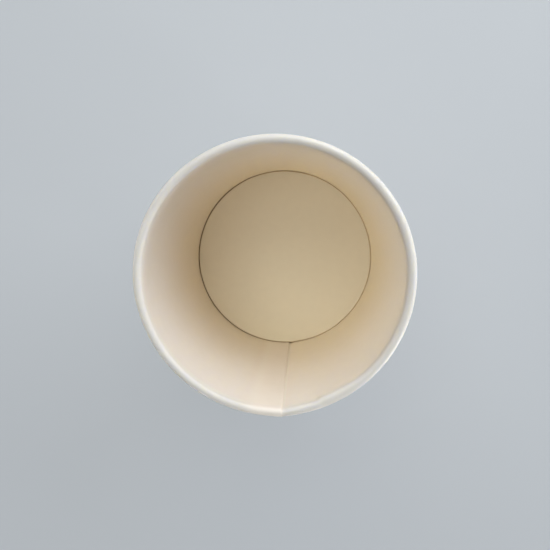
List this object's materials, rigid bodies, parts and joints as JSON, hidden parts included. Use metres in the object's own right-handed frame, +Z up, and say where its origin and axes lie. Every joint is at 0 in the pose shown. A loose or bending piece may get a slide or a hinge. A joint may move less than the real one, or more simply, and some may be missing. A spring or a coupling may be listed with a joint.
{
  "type": "paper soup container",
  "caption": "Round tapered paper soup container, open at the top, with a rolled rim, a glued side lap and a recessed base held by a folded-in foot hem.",
  "frame": {"origin": "centre of the foot, on the surface that the container stands on", "axes": "+Z up along the cup's axis, out of its mouth; -Y towards the side lap's inner cut edge"},
  "size_m": [0.09, 0.09, 0.086],
  "materials": {
    "side_board": "white board with a thin satin plastic coating",
    "base_board": "white board with a thin satin plastic coating"
  },
  "bodies": {
    "root": {"sidewall": "side_board", "base_disc": "base_board"}
  },
  "joints": []
}
